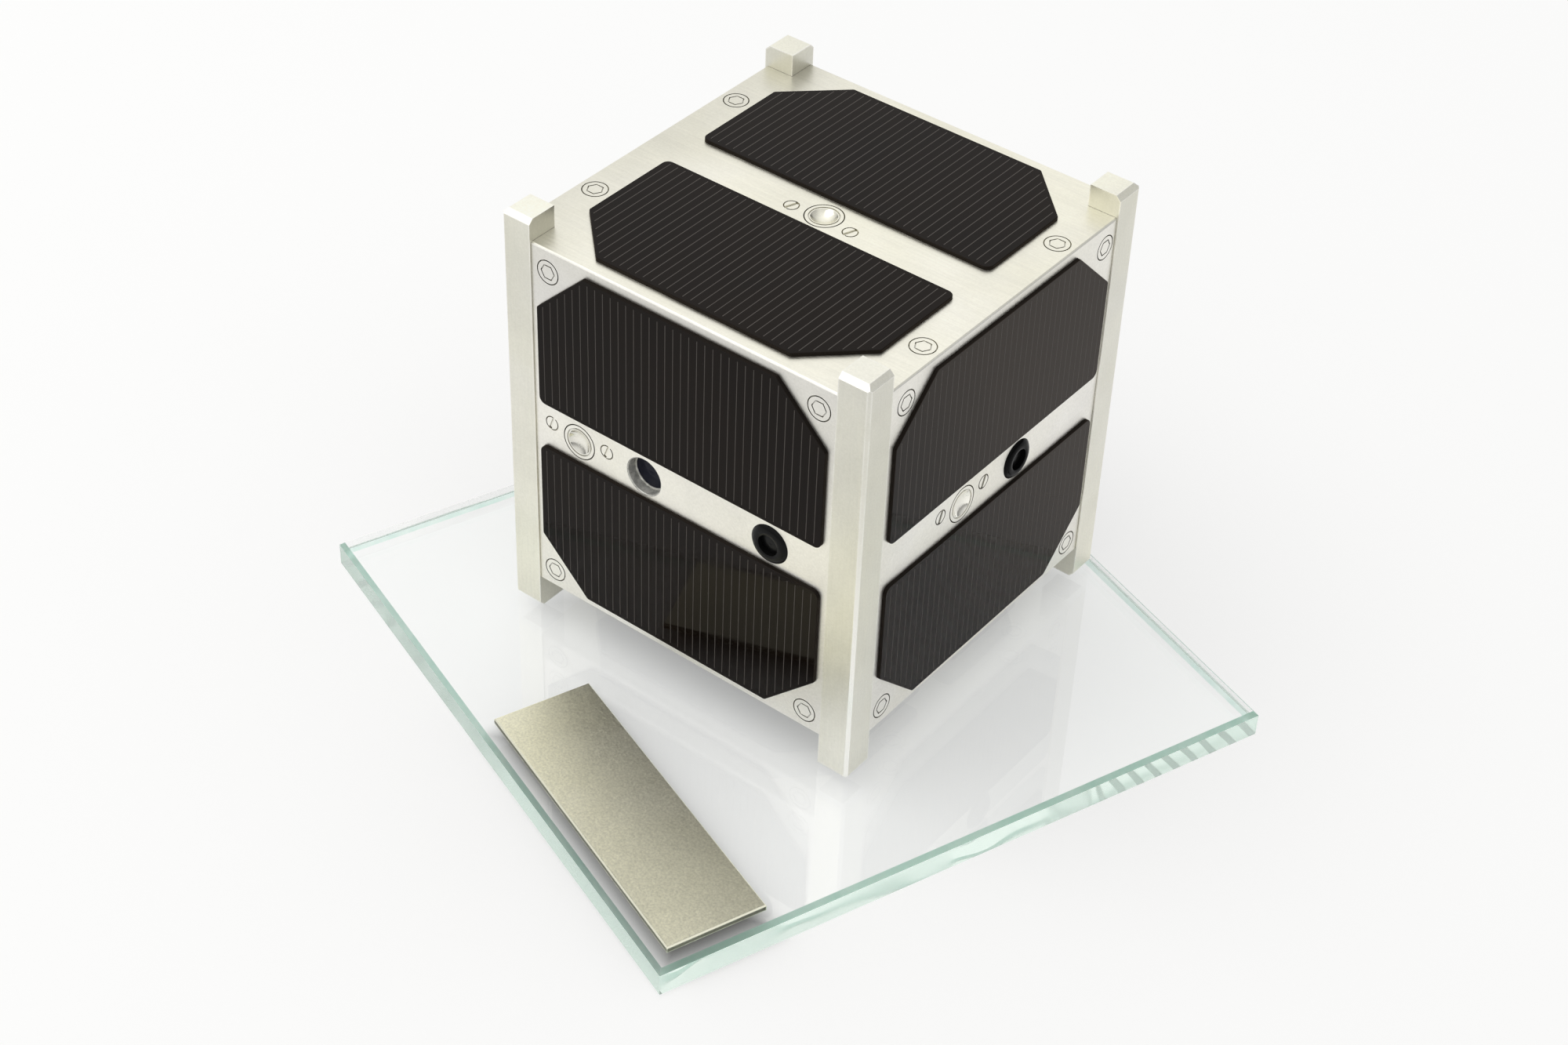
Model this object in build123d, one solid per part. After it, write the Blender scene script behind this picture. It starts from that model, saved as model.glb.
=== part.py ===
import os
from collections import namedtuple

from build123d import *

# Full-size display model of a one-unit cube satellite, on a clear glass plinth
# with a blank name plate. Millimetres, +Z up. The origin is the middle of the
# plinth's underside, and X and Y run along the sides of the cube.

# Glass plinth, turned about Z from the sides of the cube
plinth_side = 160.0
plinth_thickness = 8.0
plinth_turn = -20.4
plinth_bevel = 1.05

# Name plate, lying in the plinth's front right corner
name_plate_length = 80.0
name_plate_width = 24.5
name_plate_thickness = 1.5
name_plate_bevel = 0.3
name_plate_margin = 4.0

# Film of glue between the glass and what stands on it
glue_thickness = 0.05

# Cube: its middle as seen from the middle of the plinth, and its width over the rails
cube_x = -7.2
cube_y = 17.0
cube_width = 100.0

# Four square corner rails
rail_width = 8.1
rail_length = 110.5
rail_end_bevel = 1.2
rail_corner_bevel = 0.7

# Shell of six plates, mitred where they meet
shell_setback = 0.4
stub_height = 5.6
foot_height = 8.8
plate_thickness = 4.0
plate_bevel = 0.4

# Solar cells, two to a face, with their outer corners cut off. Each fills its half
# of the plate up to these margins: at the rails, and at the outer edge of a side
# plate or of the top and bottom plates.
cell_thickness = 0.9
cell_spacing = 12.2
cell_rail_margin = 1.9
cell_side_margin = 2.55
cell_end_margin = 3.75
cell_cut_along = 13.5
cell_cut_across = 13.2
cell_corner_radius = 1.8
cell_cut_radius = 0.8
cell_edge_bevel = 0.12

# Flush screws with an engraved hexagon
screw_head_diameter = 5.65
screw_head_height = 1.0
side_screw_rail_inset = 4.7
side_screw_edge_inset = 5.5
end_screw_edge_inset = 4.5
end_screw_spread = 49.8
hexagon_radius = 2.08
engraving_width = 0.34
engraving_depth = 0.3

# The screws and instruments of a side plate sit this far below its middle, and the
# upper screws of the right plate this far further back
pattern_drop = 0.4
right_screw_shift = 0.9

# Places along the middle band of a side plate, from the rail on its left
front_sensor_place = 13.0
right_sensor_place = 30.5
camera_place = 32.1
front_port_place = 67.7
right_port_place = 51.7

# Round sun sensors: a disc with a ring line and a dished middle
sensor_diameter = 8.7
sensor_height = 2.2
sensor_ring_diameter = 7.3
dish_diameter = 6.2
dish_depth = 1.3

# Pair of small slotted screws beside each sun sensor. They sit a little above its
# middle on the side plates, and as far the other way on the top and bottom plates.
stud_diameter = 3.2
stud_height = 1.0
stud_spacing = 16.3
stud_rise = 1.3
stud_slot_width = 0.8
stud_slot_depth = 0.35
stud_slot_angle = 70.0

# Open line round each flush piece, and the closer fit of the lenses and rings
flush_gap = 0.3
seat_gap = 0.05

# Camera: a lens at the bottom of a round well in the front plate
well_diameter = 10.0
well_depth = 3.2
camera_lens_thickness = 0.6
camera_lens_crown = 0.25

# Ports: a black ring whose domed front stands out of its plate, with a small glass
# inside. The dome's crest and the rim of the bore are given above the plate's skin.
port_diameter = 9.9
port_crest_diameter = 6.5
port_crest_height = 0.84
port_seat_depth = 2.0
port_bore_diameter = 5.3
port_bore_rim_height = 0.75
port_bore_depth = 1.6
port_glass_thickness = 0.6
port_glass_crown = 0.2

# Places worked out from the sizes above
deck = plinth_thickness + glue_thickness
rail_inner = cube_width / 2 - rail_width
shell_half = cube_width / 2 - shell_setback
shell_bottom = deck + foot_height
shell_top = deck + rail_length - stub_height
shell_height = shell_top - shell_bottom
shell_middle = (shell_top + shell_bottom) / 2
side_screws = (rail_inner - side_screw_rail_inset, shell_height / 2 - side_screw_edge_inset)
end_screws = (shell_half - end_screw_edge_inset, end_screw_spread / 2)
cell_length = 2 * (rail_inner - cell_rail_margin)
side_cell_depth = (shell_height - cell_spacing) / 2 - cell_side_margin
end_cell_depth = shell_half - cell_spacing / 2 - cell_end_margin
front_sensor_u = front_sensor_place - rail_inner
right_sensor_u = right_sensor_place - rail_inner
camera_u = camera_place - rail_inner

# Each face is drawn on its own plane, with u across it, v up it (or towards
# its second direction) and the plate's outer skin at height 0.
Face = namedtuple("Face", "name normal across distance drop screws screw_shift sensor_u rise cell_depth cell_names")
faces = (
    Face("front", (0, -1, 0), (1, 0, 0), shell_half, pattern_drop,
         side_screws, 0.0, front_sensor_u, stud_rise, side_cell_depth, ("upper", "lower")),
    Face("right", (1, 0, 0), (0, 1, 0), shell_half, pattern_drop,
         side_screws, right_screw_shift, right_sensor_u, stud_rise, side_cell_depth, ("upper", "lower")),
    Face("back", (0, 1, 0), (-1, 0, 0), shell_half, pattern_drop,
         side_screws, 0.0, front_sensor_u, stud_rise, side_cell_depth, ("upper", "lower")),
    Face("left", (-1, 0, 0), (0, -1, 0), shell_half, pattern_drop,
         side_screws, 0.0, right_sensor_u, stud_rise, side_cell_depth, ("upper", "lower")),
    Face("top", (0, 0, 1), (1, 0, 0), shell_height / 2, 0.0,
         end_screws, 0.0, 0.0, -stud_rise, end_cell_depth, ("back", "front")),
    Face("bottom", (0, 0, -1), (1, 0, 0), shell_height / 2, 0.0,
         end_screws, 0.0, 0.0, -stud_rise, end_cell_depth, ("front", "back")),
)

# Ports: face name and place across that face
ports = (("front", front_port_place - rail_inner), ("right", right_port_place - rail_inner))

signs = (-1, 1)


def save(node, *solids):
    """Write one node's solids to its STEP file."""
    shape = solids[0] if len(solids) == 1 else Compound(children=list(solids))
    export_step(shape, f"parts/{node}.step")


def disc(diameter, height, top=0.0):
    """Round disc whose upper side is at the given height."""
    return Pos(0, 0, top - height / 2) * Cylinder(diameter / 2, height)


def crowned_disc(diameter, height, crown, top):
    """Disc with a shallow domed upper side."""
    radius = diameter / 2
    ball = (radius**2 + crown**2) / (2 * crown)
    return disc(diameter, height, top) & Pos(0, 0, top - ball) * Sphere(ball)


# ---------------------------------------------------------------- plinth
def make_plinth():
    """Square block with sharp upright corners, bevelled round its upper and lower faces."""
    block = Box(plinth_side, plinth_side, plinth_thickness)
    block = chamfer(block.edges().filter_by(Axis.Z, reverse=True), plinth_bevel)
    return Pos(0, 0, plinth_thickness / 2) * Rot(0, 0, plinth_turn) * block


def make_name_plate():
    plate = Box(name_plate_length, name_plate_width, name_plate_thickness)
    upper_edges = plate.faces().sort_by(Axis.Z)[-1].edges()
    plate = chamfer(upper_edges, name_plate_bevel)
    corner = plinth_side / 2 - name_plate_margin
    place = Pos(corner - name_plate_length / 2, name_plate_width / 2 - corner,
                deck + name_plate_thickness / 2)
    return Rot(0, 0, plinth_turn) * place * plate


# ---------------------------------------------------------------- rails
def make_rail(side_x, side_y):
    """Square rail at one corner, with its outer edge and the rims of its ends bevelled."""
    bar = Box(rail_width, rail_width, rail_length)
    rims = [e for e in bar.edges() if abs(e.center().Z) > rail_length / 2 - 1e-6]
    outer = [e for e in rims if e.center().X * side_x > 1e-6 or e.center().Y * side_y > 1e-6]
    bar = chamfer(outer, rail_end_bevel)
    corner = (rail_width - rail_corner_bevel) / 2**0.5 + rail_width / 2
    cutter = Pos(corner, 0, 0) * Box(rail_width, rail_width, 2 * rail_length)
    bar = bar - Rot(0, 0, 45 * side_y * (2 - side_x)) * cutter
    middle = cube_width / 2 - rail_width / 2
    return Pos(cube_x + side_x * middle, cube_y + side_y * middle,
               deck + rail_length / 2) * bar


# ---------------------------------------------------------------- plates
def mitred_bar(width, length):
    """Plate along u whose two long edges are mitred at 45 degrees and bevelled."""
    half = width / 2
    section = [
        (-(half - plate_bevel), 0),
        (half - plate_bevel, 0),
        (half - plate_bevel / 2, -plate_bevel / 2),
        (half - plate_thickness, -plate_thickness),
        (-(half - plate_thickness), -plate_thickness),
        (-(half - plate_bevel / 2), -plate_bevel / 2),
    ]
    profile = Plane.YZ * make_face(Polyline(*section, close=True))
    return extrude(profile, amount=length / 2, both=True)


def make_plate_blank(face):
    if face.normal[2] == 0:
        return mitred_bar(shell_height, 2 * rail_inner)
    plate = mitred_bar(2 * shell_half, 2 * shell_half)
    plate = plate & Rot(0, 0, 90) * mitred_bar(2 * shell_half, 2 * shell_half)
    notch = 2 * rail_width
    for sx in signs:
        for sy in signs:
            place = Pos(sx * (rail_inner + notch / 2), sy * (rail_inner + notch / 2), 0)
            plate = plate - place * Box(notch, notch, 3 * plate_thickness)
    return plate


def screw_places(face):
    across, up = face.screws
    places = []
    for sv, shift in ((-1, 0.0), (1, face.screw_shift)):
        places += [Pos(su * across + shift, sv * up - face.drop, 0) for su in signs]
    return places


def sensor_place(face):
    return Pos(face.sensor_u, -face.drop, 0)


def stud_places(face):
    return [sensor_place(face) * Pos(su * stud_spacing / 2, face.rise, 0) for su in signs]


def camera_place_on(face):
    return Pos(camera_u, -face.drop, 0)


def port_places(face):
    return [Pos(across, -face.drop, 0) for name, across in ports if name == face.name]


def make_plate(face):
    plate = make_plate_blank(face)
    for place in screw_places(face):
        plate = plate - place * disc(screw_head_diameter + 2 * flush_gap, screw_head_height)
    for place in stud_places(face):
        plate = plate - place * disc(stud_diameter + 2 * flush_gap, stud_height)
    sensor_seat = disc(sensor_diameter + 2 * flush_gap, sensor_height)
    plate = plate - sensor_place(face) * sensor_seat
    for place in port_places(face):
        plate = plate - place * disc(port_diameter + 2 * seat_gap, port_seat_depth)
    if face.name == "front":
        plate = plate - camera_place_on(face) * disc(well_diameter, well_depth)
    return plate


# ---------------------------------------------------------------- solar cells
def make_cell(depth, side):
    """Solar cell on the upper (1) or lower (-1) half of a face."""
    near = cell_spacing / 2
    far = near + depth
    end = cell_length / 2
    outline = Polyline(
        (-end, near),
        (end, near),
        (end, far - cell_cut_across),
        (end - cell_cut_along, far),
        (-end + cell_cut_along, far),
        (-end, far - cell_cut_across),
        close=True,
    )
    sketch = make_face(outline)
    inner = [v for v in sketch.vertices() if v.Y < near + 1e-6]
    sketch = fillet(inner, cell_corner_radius)
    cut = [v for v in sketch.vertices() if v.Y > far - cell_cut_across - 1e-6]
    sketch = fillet(cut, cell_cut_radius)
    cell = extrude(sketch, amount=cell_thickness)
    top_edges = cell.faces().sort_by(Axis.Z)[-1].edges()
    cell = chamfer(top_edges, cell_edge_bevel)
    return cell if side > 0 else Rot(0, 0, 180) * cell


# ---------------------------------------------------------------- small flush pieces
def make_screw():
    head = disc(screw_head_diameter, screw_head_height)
    line = RegularPolygon(hexagon_radius, 6) - RegularPolygon(hexagon_radius - engraving_width, 6)
    return head - extrude(line, amount=-engraving_depth)


def make_sensor():
    body = disc(sensor_diameter, sensor_height)
    ring_radius = sensor_ring_diameter / 2
    line = Circle(ring_radius) - Circle(ring_radius - engraving_width)
    body = body - extrude(line, amount=-engraving_depth)
    dish_radius = dish_diameter / 2
    ball = (dish_radius**2 + dish_depth**2) / (2 * dish_depth)
    return body - Pos(0, 0, ball - dish_depth) * Sphere(ball)


def make_stud():
    head = disc(stud_diameter, stud_height)
    slot = Box(2 * stud_diameter, stud_slot_width, 2 * stud_slot_depth)
    return head - Rot(0, 0, stud_slot_angle) * slot


# ---------------------------------------------------------------- camera and ports
def make_camera_lens():
    top = camera_lens_thickness - well_depth
    lens_diameter = well_diameter - 2 * seat_gap
    return crowned_disc(lens_diameter, camera_lens_thickness, camera_lens_crown, top)


def make_port_ring():
    """Ring with a domed front and a blind bore, turned from its half section."""
    outer, bore = port_diameter / 2, port_bore_diameter / 2
    floor = port_bore_rim_height - port_bore_depth
    crest = (port_crest_diameter / 2, port_crest_height)
    dome = ThreePointArc((outer, 0), crest, (bore, port_bore_rim_height))
    inside = Polyline((bore, port_bore_rim_height), (bore, floor), (0, floor),
                      (0, -port_seat_depth), (outer, -port_seat_depth), (outer, 0))
    return revolve(Plane.XZ * make_face([dome, inside]), axis=Axis.Z)


def make_port_glass():
    top = port_bore_rim_height - port_bore_depth + port_glass_thickness
    glass_diameter = port_bore_diameter - 2 * seat_gap
    return crowned_disc(glass_diameter, port_glass_thickness, port_glass_crown, top)


# ---------------------------------------------------------------- assembly
os.makedirs("parts", exist_ok=True)

save("glass_plinth", make_plinth())
save("name_plate", make_name_plate())

for row, side_y in (("front", -1), ("back", 1)):
    for column, side_x in (("left", -1), ("right", 1)):
        save(f"rail_{row}_{column}", make_rail(side_x, side_y))

for face in faces:
    middle = Vector(cube_x, cube_y, shell_middle) + Vector(*face.normal) * face.distance
    skin = Plane(origin=middle, x_dir=face.across, z_dir=face.normal).location
    save(f"{face.name}_plate", skin * make_plate(face))
    for cell_name, side in zip(face.cell_names, (1, -1)):
        save(f"{face.name}_cell_{cell_name}", skin * make_cell(face.cell_depth, side))
    save(f"{face.name}_screws", *[skin * place * make_screw() for place in screw_places(face)])
    save(f"{face.name}_sun_sensor", skin * sensor_place(face) * make_sensor())
    save(f"{face.name}_sensor_screws", *[skin * place * make_stud() for place in stud_places(face)])
    if face.name == "front":
        save("front_camera_lens", skin * camera_place_on(face) * make_camera_lens())
    for place in port_places(face):
        save(f"{face.name}_port_ring", skin * place * make_port_ring())
        save(f"{face.name}_port_glass", skin * place * make_port_glass())
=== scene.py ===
# %% [markdown]
# # A cube satellite on a glass plinth
# The real object is a full-size display model: a metal cube with four corner rails, twelve dark solar cells
# and a few round sensors and lenses. It stands on a square of clear glass with a blank metal name plate.
# The solids come packed as a fixed frame, so nothing here moves or reshapes them. This lesson gives each one
# a finish, adds the printed lines of the solar cells and the barrel of the camera, and lights the whole like
# a studio product picture.

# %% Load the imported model
import math

import bmesh
import bpy
from mathutils import Matrix, Vector


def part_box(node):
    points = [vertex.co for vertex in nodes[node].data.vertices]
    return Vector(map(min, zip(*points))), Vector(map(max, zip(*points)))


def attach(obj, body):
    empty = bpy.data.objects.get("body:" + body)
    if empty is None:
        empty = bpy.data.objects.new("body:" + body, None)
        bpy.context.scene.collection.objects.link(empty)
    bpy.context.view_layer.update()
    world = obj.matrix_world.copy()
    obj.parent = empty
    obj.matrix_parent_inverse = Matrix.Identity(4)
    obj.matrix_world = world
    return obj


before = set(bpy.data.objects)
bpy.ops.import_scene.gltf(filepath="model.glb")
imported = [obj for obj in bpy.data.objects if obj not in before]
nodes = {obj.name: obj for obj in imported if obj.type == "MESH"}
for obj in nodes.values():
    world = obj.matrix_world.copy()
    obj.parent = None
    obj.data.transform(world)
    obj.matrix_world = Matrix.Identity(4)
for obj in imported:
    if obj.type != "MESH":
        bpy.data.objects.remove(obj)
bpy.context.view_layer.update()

MM = 0.001

# %% [markdown]
# ## The camera
# A product picture of a small object is taken with a short telephoto lens from arm's length, looking down at
# about forty degrees. The camera could be aimed with a Track To constraint, but a hand-held camera also rolls
# a little, so here its three axes are worked out from a bearing, an elevation and a roll and put in a matrix.

# %% Aim the camera
CAMERA_PLACE = Vector((0.299414, -0.404061, 0.458540))
CAMERA_BEARING = math.radians(36.73)
CAMERA_ELEVATION = math.radians(39.79)
CAMERA_ROLL = math.radians(2.3555)
LENS_MM = 64.795
SENSOR_MM = 36.0
NEAREST_SEEN = 10 * MM


def camera_axes(bearing, elevation, roll):
    """Right, up and backward directions of a camera; bearing 0 looks along +Y and 90 along -X."""
    forward = Vector((-math.sin(bearing) * math.cos(elevation),
                      math.cos(bearing) * math.cos(elevation),
                      -math.sin(elevation)))
    level_right = forward.cross(Vector((0, 0, 1))).normalized()
    level_up = level_right.cross(forward)
    right = level_right * math.cos(roll) + level_up * math.sin(roll)
    return right, right.cross(forward), -forward


axes = camera_axes(CAMERA_BEARING, CAMERA_ELEVATION, CAMERA_ROLL)
camera_data = bpy.data.cameras.new("studio_camera")
camera_data.sensor_width = SENSOR_MM
camera_data.lens = LENS_MM
camera_data.clip_start = NEAREST_SEEN
camera = bpy.data.objects.new("studio_camera", camera_data)
camera.matrix_world = Matrix.Translation(CAMERA_PLACE) @ Matrix(axes).transposed().to_4x4()
bpy.context.scene.collection.objects.link(camera)
bpy.context.scene.camera = camera
print("camera looks along", [round(-v, 3) for v in axes[2]])

# %% [markdown]
# ## Small helpers for nodes
# A material in Blender is a tree of nodes. Making each node takes three or four lines, so a few helpers keep
# the recipes readable. They take plain values and the outputs of other nodes alike: a value is put in an
# input, and an output is linked to it.


# %% Helpers: add a node and fill it in
def feed(tree, entry, value):
    """Puts a value in an input, or links another node's output to it."""
    if isinstance(value, bpy.types.NodeSocket):
        tree.links.new(value, entry)
    else:
        entry.default_value = value


def fill(tree, node, **values):
    """Feeds a node's inputs by name. A name that isn't an input is a property."""
    for name, value in values.items():
        entry = node.inputs.get(name.replace("_", " "))
        if entry is None:
            setattr(node, name, value)
        else:
            feed(tree, entry, value)


def add(tree, kind, label="", *terms, **values):
    """Adds a shader node. The values go in by name and the terms feed its inputs in order."""
    node = tree.nodes.new(kind)
    node.label = label
    fill(tree, node, **values)
    for entry, term in zip(node.inputs, terms):
        feed(tree, entry, term)
    return node


print("node helpers ready")

# %% [markdown]
# ### Helpers for what comes back
# Sums and products, ramps, mixes and noises come back in every recipe, so each has a helper of its own. It
# returns an output, which can be handed straight to the next one. A Mix node has a pair of inputs for each
# kind of value, and the pairs share their names. Only numbers tell them apart, so these are kept in a table.

# %% Helpers: sums, ramps, mixes and noises
# kind of mix: (number of its first input, of its second input, of its output)
MIX_SOCKETS = {"FLOAT": (2, 3, 0), "RGBA": (6, 7, 2)}


def calculated(tree, operation, label, *terms):
    """A sum with plain numbers."""
    return add(tree, "ShaderNodeMath", label, *terms, operation=operation).outputs[0]


def vectors(tree, operation, *terms, **values):
    """A sum with vectors. A dot product gives a number, and the others give a vector."""
    node = add(tree, "ShaderNodeVectorMath", "", *terms, operation=operation, **values)
    return node.outputs["Value" if operation == "DOT_PRODUCT" else "Vector"]


def ramped(tree, source, label="", **values):
    """Maps one range to another. Both run from 0 to 1 where no value is given."""
    return add(tree, "ShaderNodeMapRange", label, source, **values).outputs[0]


def mixed(tree, label, share, first, second, kind="RGBA"):
    """Goes from the first to the second as the share goes from 0 to 1."""
    node = add(tree, "ShaderNodeMix", label, share, data_type=kind)
    low, high, out = MIX_SOCKETS[kind]
    feed(tree, node.inputs[low], first)
    feed(tree, node.inputs[high], second)
    return node.outputs[out]


def noise_over(tree, label="", **values):
    """A noise in the object's own space, so that it stays put on the surface."""
    spot = add(tree, "ShaderNodeTexCoord").outputs["Object"]
    return add(tree, "ShaderNodeTexNoise", label, spot, **values).outputs[0]


def raise_relief(tree, source, shader, strength, depth):
    """Makes a shader's surface look raised where an output is high."""
    bump = add(tree, "ShaderNodeBump", Strength=strength, Distance=depth, Height=source)
    fill(tree, shader, Normal=bump.outputs[0])


print("helpers for mixes of", list(MIX_SOCKETS))

# %% [markdown]
# ### Helpers for materials
# Every finish begins with a new material, whose Principled shader gets its fixed values, and ends on some of
# the solids. A solid keeps its own slots, because a slot says what the piece is made of. Only the material in
# the slot is changed.


# %% Helpers: start a material and put it on solids
def start_material(name, **values):
    """A new material with its Principled shader filled in; returns the material, its tree and the shader."""
    material = bpy.data.materials.new(name)
    material.use_nodes = True
    tree = material.node_tree
    shader = tree.nodes["Principled BSDF"]
    fill(tree, shader, **values)
    return material, tree, shader


def dress(material, *names):
    """Puts one material in every slot of these solids."""
    for name in names:
        for place in nodes[name].material_slots:
            place.material = material
    print(material.name, "on", len(names), "nodes")


print("material helpers ready")

# %% [markdown]
# ## The shade under what lies on the glass
# Glass bends light so steeply that hardly any of it reaches the table under a thing that lies on the glass.
# The straight light paths that keep the render quick don't know this, so the table fades there by hand. Each
# thing is taken as a turned rectangle, and the fade follows from how far a point lies beyond its rim.

# %% Where the table is covered
PLINTH_TURN = math.radians(-20.4)
# what lies on the glass: (its nodes, turn, half width, half depth, fade inside, fade outside, light left)
COVERED = (
    ("name_plate", PLINTH_TURN, 40 * MM, 12.25 * MM, 5 * MM, 5 * MM, 0.14),
    ("rail_", 0.0, 50 * MM, 50 * MM, 14 * MM, 2 * MM, 0.75),
)


def middle_of(start):
    """The middle of all nodes whose names begin with this, seen from above."""
    corners = [corner for name in nodes if name.startswith(start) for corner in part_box(name)]
    low = [min(corner[i] for corner in corners) for i in (0, 1)]
    high = [max(corner[i] for corner in corners) for i in (0, 1)]
    return (low[0] + high[0]) / 2, (low[1] + high[1]) / 2, 0.0


def uncovered(tree, start, turn, half_width, half_depth, inside, outside, left):
    """A value that is 1 on the open table and falls to left under one thing."""
    spot = add(tree, "ShaderNodeTexCoord").outputs["Object"]
    turned = add(tree, "ShaderNodeVectorRotate", "", spot, rotation_type="Z_AXIS", Angle=-turn,
                 Center=middle_of(start)).outputs[0]
    away = vectors(tree, "ABSOLUTE", vectors(tree, "SUBTRACT", turned, middle_of(start)))
    beyond = vectors(tree, "SUBTRACT", away, (half_width, half_depth, 0))
    split = add(tree, "ShaderNodeSeparateXYZ", "how far beyond its rim", beyond).outputs
    farther = calculated(tree, "MAXIMUM", "beyond either side", split["X"], split["Y"])
    return ramped(tree, farther, "fade", interpolation_type="SMOOTHSTEP",
                  From_Min=-inside, From_Max=outside, To_Min=left, To_Max=1.0)


for row in COVERED:
    print(row[0], "lies over", [round(v / MM, 1) for v in middle_of(row[0])[:2]], "mm")

# %% [markdown]
# ## The table
# The model stands on a white table, as in a light tent. Thin white film over a light box makes such a table:
# part of its white is its own glow, so the shadow on it is pale. More light on a plain floor would whiten it
# as well, but would bleach the model too. Here only what is seen or mirrored shows the glow, by a Light Path
# node, so it adds no light to the model.

# %% Lay the table
TABLE_SIZE = 8.0
TABLE_GAP = 0.1 * MM
TABLE_COLOUR = (0.55, 0.55, 0.546)
TABLE_GLOW = 0.45


def seen_rays(tree):
    """1 for what the camera, metal and glass show, and 0 for light that falls on things."""
    rays = add(tree, "ShaderNodeLightPath").outputs
    either = calculated(tree, "MAXIMUM", "seen or mirrored", rays["Is Camera Ray"], rays["Is Glossy Ray"])
    return calculated(tree, "MAXIMUM", "seen, not lit", either, rays["Is Transmission Ray"])


def make_table_finish():
    """White film: its colour and its glow both fade where the table is covered."""
    material, tree, shader = start_material("white_table", Roughness=1.0, Specular_IOR_Level=0.0,
                                            Emission_Color=(1, 1, 1, 1))
    fade = calculated(tree, "MULTIPLY", "both shades", *[uncovered(tree, *row) for row in COVERED])
    glow = calculated(tree, "MULTIPLY", "its own glow", seen_rays(tree), TABLE_GLOW)
    fill(tree, shader, Base_Color=vectors(tree, "SCALE", TABLE_COLOUR, Scale=fade),
         Emission_Strength=calculated(tree, "MULTIPLY", "less where covered", glow, fade))
    return material


half = TABLE_SIZE / 2
table_mesh = bpy.data.meshes.new("table_top")
table_mesh.from_pydata([(x * half, y * half, -TABLE_GAP) for x, y in ((-1, -1), (1, -1), (1, 1), (-1, 1))],
                       [], [(0, 1, 2, 3)])
table_mesh.materials.append(make_table_finish())
table = bpy.data.objects.new("table_top", table_mesh)
bpy.context.scene.collection.objects.link(table)
print("table", TABLE_SIZE, "m wide,", round(TABLE_GAP / MM, 2), "mm below the plinth")

# %% [markdown]
# ## The sky
# A studio tent could be modelled as panels, but a plain world that is nearly white everywhere gives the same
# even light with less noise. The world is a little dimmer for the light it casts than for what metal and
# glass mirror, so that the metal shows a white room while its shadows stay. The tent is open behind and to
# the right, and that darker side gives the small dishes and edges their contrast.

# %% Hang the sky
SKY_COLOUR = (1, 1, 0.995, 1)
SKY_LIGHT = 0.77
SKY_MIRRORED = 0.98
SKY_HORIZON = 0.30
SKY_BRIGHT_FROM = 0.55
DARK_SIDE = (0.6, 0.8, 0.0)
DARK_SIDE_FROM = 0.3
DARK_SIDE_FULL = 0.8
DARK_SIDE_SHARE = 0.66


def make_sky():
    world = bpy.data.worlds.new("light_tent")
    world.use_nodes = True
    tree = world.node_tree
    tree.nodes.clear()
    spot = add(tree, "ShaderNodeTexCoord").outputs["Generated"]
    split = add(tree, "ShaderNodeSeparateXYZ", "", spot).outputs
    height = ramped(tree, split["Z"], "brighter overhead", interpolation_type="SMOOTHSTEP",
                    From_Min=0.0, From_Max=SKY_BRIGHT_FROM, To_Min=SKY_HORIZON, To_Max=SKY_MIRRORED)
    towards = vectors(tree, "DOT_PRODUCT", spot, DARK_SIDE)
    dim = ramped(tree, towards, "open side of the tent", interpolation_type="SMOOTHSTEP",
                 From_Min=DARK_SIDE_FROM, From_Max=DARK_SIDE_FULL, To_Min=1.0, To_Max=DARK_SIDE_SHARE)
    mirrored = calculated(tree, "MULTIPLY", "what metal and glass mirror", height, dim)
    strength = mixed(tree, "strength for each kind of ray", seen_rays(tree), SKY_LIGHT, mirrored, "FLOAT")
    glow = add(tree, "ShaderNodeBackground", Color=SKY_COLOUR, Strength=strength)
    add(tree, "ShaderNodeOutputWorld", "", glow.outputs[0])
    return world


bpy.context.scene.world = make_sky()
print("sky casts", SKY_LIGHT, "and is mirrored as", SKY_MIRRORED, "overhead,", SKY_HORIZON, "at the horizon")

# %% [markdown]
# ## The lamp
# The sky alone would leave hardly any shadow, so one large square lamp hangs overhead, a little to the left
# and the front. Its size keeps the shadows soft. Rays that run through glass don't see it, because it would
# fill the sides of the plinth with bright flecks. Light bounces many times inside a sheet of glass before it
# leaves, so the number of bounces is set high.

# %% Hang the lamp
LAMP_PLACE = Vector((-0.7, -0.55, 1.9))
LAMP_SIZE = 1.5
LAMP_WATTS = 10.5
LAMP_COLOUR = (1, 0.995, 0.985)
LIGHT_BOUNCES = 48

lamp_data = bpy.data.lights.new("overhead_softbox", "AREA")
lamp_data.size = LAMP_SIZE
lamp_data.energy = LAMP_WATTS
lamp_data.color = LAMP_COLOUR
lamp = bpy.data.objects.new("overhead_softbox", lamp_data)
lamp.location = LAMP_PLACE
lamp.rotation_euler = (-LAMP_PLACE).to_track_quat("-Z", "Y").to_euler()
lamp.visible_transmission = False
bpy.context.scene.collection.objects.link(lamp)

scene = bpy.context.scene
scene.view_settings.view_transform = "Standard"
scene.cycles.max_bounces = LIGHT_BOUNCES
scene.cycles.glossy_bounces = LIGHT_BOUNCES
scene.cycles.transmission_bounces = LIGHT_BOUNCES
print("lamp of", LAMP_WATTS, "W,", LAMP_SIZE, "m wide,", round(LAMP_PLACE.length, 2), "m away")

# %% [markdown]
# ## Shared effects
# Several finishes need the same effects: streaks left by a brush, cloudy differences of shade, bright worn
# edges, dirt in narrow gaps and the faint marks of fingers. Each is a node group with named inputs, built
# once and used with different values. A group gives only a value from 0 to 1, and each material decides what
# the value does, so one group can change a colour in one place and a roughness in another.


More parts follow.
